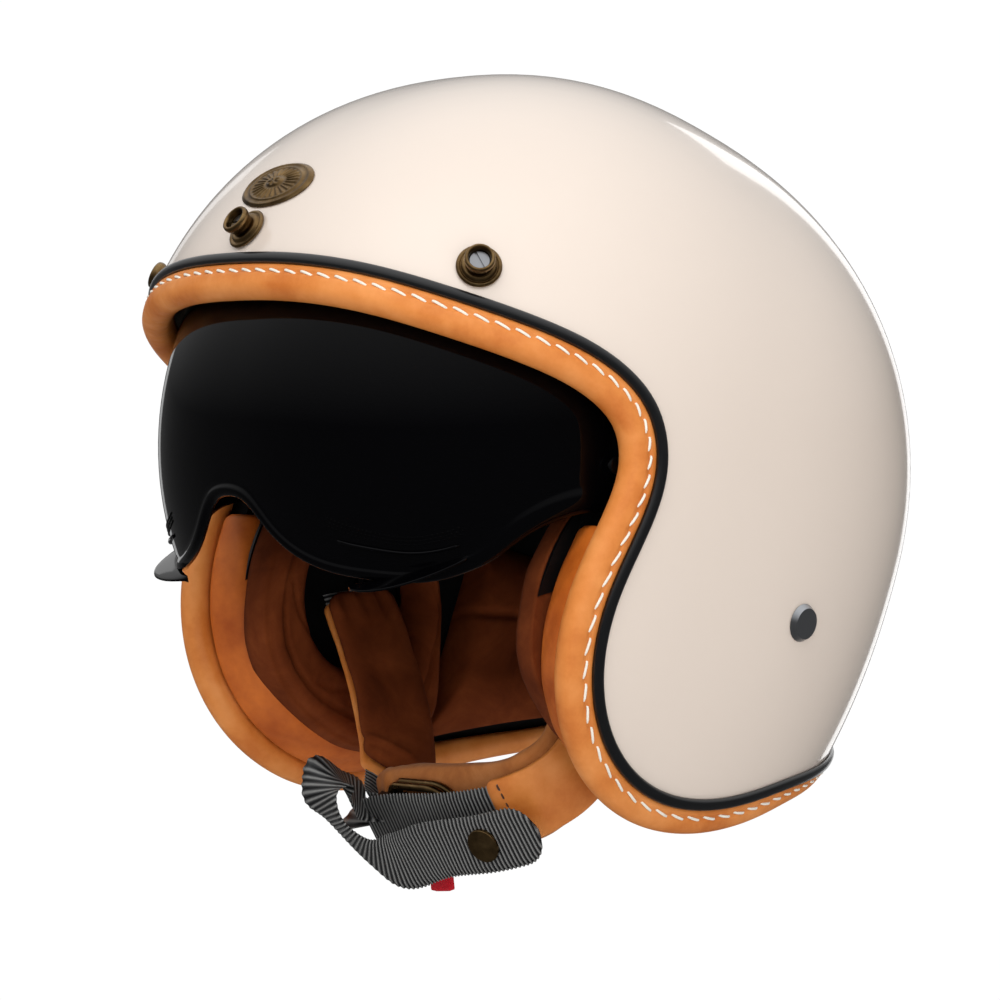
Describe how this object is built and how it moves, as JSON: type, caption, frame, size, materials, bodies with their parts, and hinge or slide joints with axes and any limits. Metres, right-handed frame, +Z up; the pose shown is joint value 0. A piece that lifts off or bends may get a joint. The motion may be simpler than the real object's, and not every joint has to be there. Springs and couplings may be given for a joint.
{
  "type": "open face motorcycle helmet",
  "caption": "Open-face helmet: painted shell with leather edge roll, drop-down smoke visor, brow snap studs, padded lining and a double D-ring chin strap with a snapped tail.",
  "frame": {"origin": "centre of the wearer's head: centre of the shell's widest section", "axes": "+X to the wearer's left, -Y the way the wearer faces, +Z up; the shell is pitched nose-up so that its bottom rim is level"},
  "size_m": [0.24, 0.2713, 0.2867],
  "materials": {
    "shell_paint": "glossy cream paint under clear coat",
    "black_bead": "satin black rubber",
    "tan_leather": "smooth tan synthetic leather",
    "orange_leather": "smooth orange-brown synthetic leather",
    "foam_liner": "black expanded foam",
    "comfort_cloth": "black knitted lining",
    "suede": "brown suede cloth",
    "black_plastic": "black moulded plastic",
    "smoke_lens": "dark smoke polycarbonate, glossy",
    "antique_brass": "antique brass",
    "steel": "plated steel",
    "black_webbing": "ribbed black webbing",
    "red_ribbon": "red woven ribbon"
  },
  "bodies": {
    "helmet": {"anchor_webbing_left": "black_webbing", "anchor_webbing_right": "black_webbing", "cheek_pad_left": "suede", "cheek_pad_right": "suede", "cheek_plate_left": "black_plastic", "cheek_plate_right": "black_plastic", "cheek_plate_snaps": "black_plastic", "crown_pad": "comfort_cloth", "edge_bead": "black_bead", "emblem_plate": "antique_brass", "eps_back": "foam_liner", "eps_crown": "foam_liner", "eps_front": "foam_liner", "eps_side_left": "foam_liner", "eps_side_right": "foam_liner", "head_band": "comfort_cloth", "leather_edge_roll": "tan_leather", "leather_facing_left": "orange_leather", "leather_facing_right": "orange_leather", "neck_roll": "suede", "outer_shell": "shell_paint", "snap_stud_bases": "antique_brass", "snap_stud_nuts": "antique_brass", "snap_stud_screws": "antique_brass", "snap_stud_sockets": "antique_brass", "strap_anchor_plates": "steel", "strap_rivet_washers": "steel", "strap_rivets": "steel", "visor_bracket_screws": "steel", "visor_friction_washers": "black_plastic", "visor_pivot_bracket_left": "black_plastic", "visor_pivot_bracket_right": "black_plastic", "visor_pivot_pin_left": "steel", "visor_pivot_pin_right": "steel"},
    "visor": {"visor_arm_left": "black_plastic", "visor_arm_right": "black_plastic", "visor_arm_screws": "steel", "visor_grips": "smoke_lens", "visor_lens": "smoke_lens"},
    "chin_strap": {"d_ring_inner": "antique_brass", "d_ring_outer": "antique_brass", "ring_keeper": "black_webbing", "sleeve_leather_left": "tan_leather", "sleeve_leather_right": "tan_leather", "sleeve_suede_left": "suede", "sleeve_suede_right": "suede", "strap_loop_webbing": "black_webbing", "strap_webbing_left": "black_webbing", "strap_webbing_right": "black_webbing", "tail_snap_stud": "antique_brass"},
    "strap_tail": {"strap_tail_webbing": "black_webbing", "tail_snap_cap": "antique_brass", "tail_snap_socket": "antique_brass"},
    "pull_tab": {"pull_tab": "red_ribbon"}
  },
  "joints": [
    {"name": "visor_drop", "type": "hinge", "parent": "helmet", "child": "visor", "pos_m": [0, -0.01565, 0.00842], "axis": [-1, 0, 0], "range_deg": [0, 47]},
    {"name": "strap_swing", "type": "hinge", "parent": "helmet", "child": "chin_strap", "pos_m": [0, -0.022, -0.045], "axis": [1, 0, 0], "range_deg": [-6, 12]},
    {"name": "tail_peel", "type": "hinge", "parent": "chin_strap", "child": "strap_tail", "pos_m": [-0.0278, -0.0524, -0.1362], "axis": [0, 0.3903, -0.9207], "range_deg": [0, 60]},
    {"name": "pull_tab_swing", "type": "hinge", "parent": "chin_strap", "child": "pull_tab", "pos_m": [-0.003, -0.035, -0.1356], "axis": [1, 0, 0], "range_deg": [-5, 30]}
  ]
}
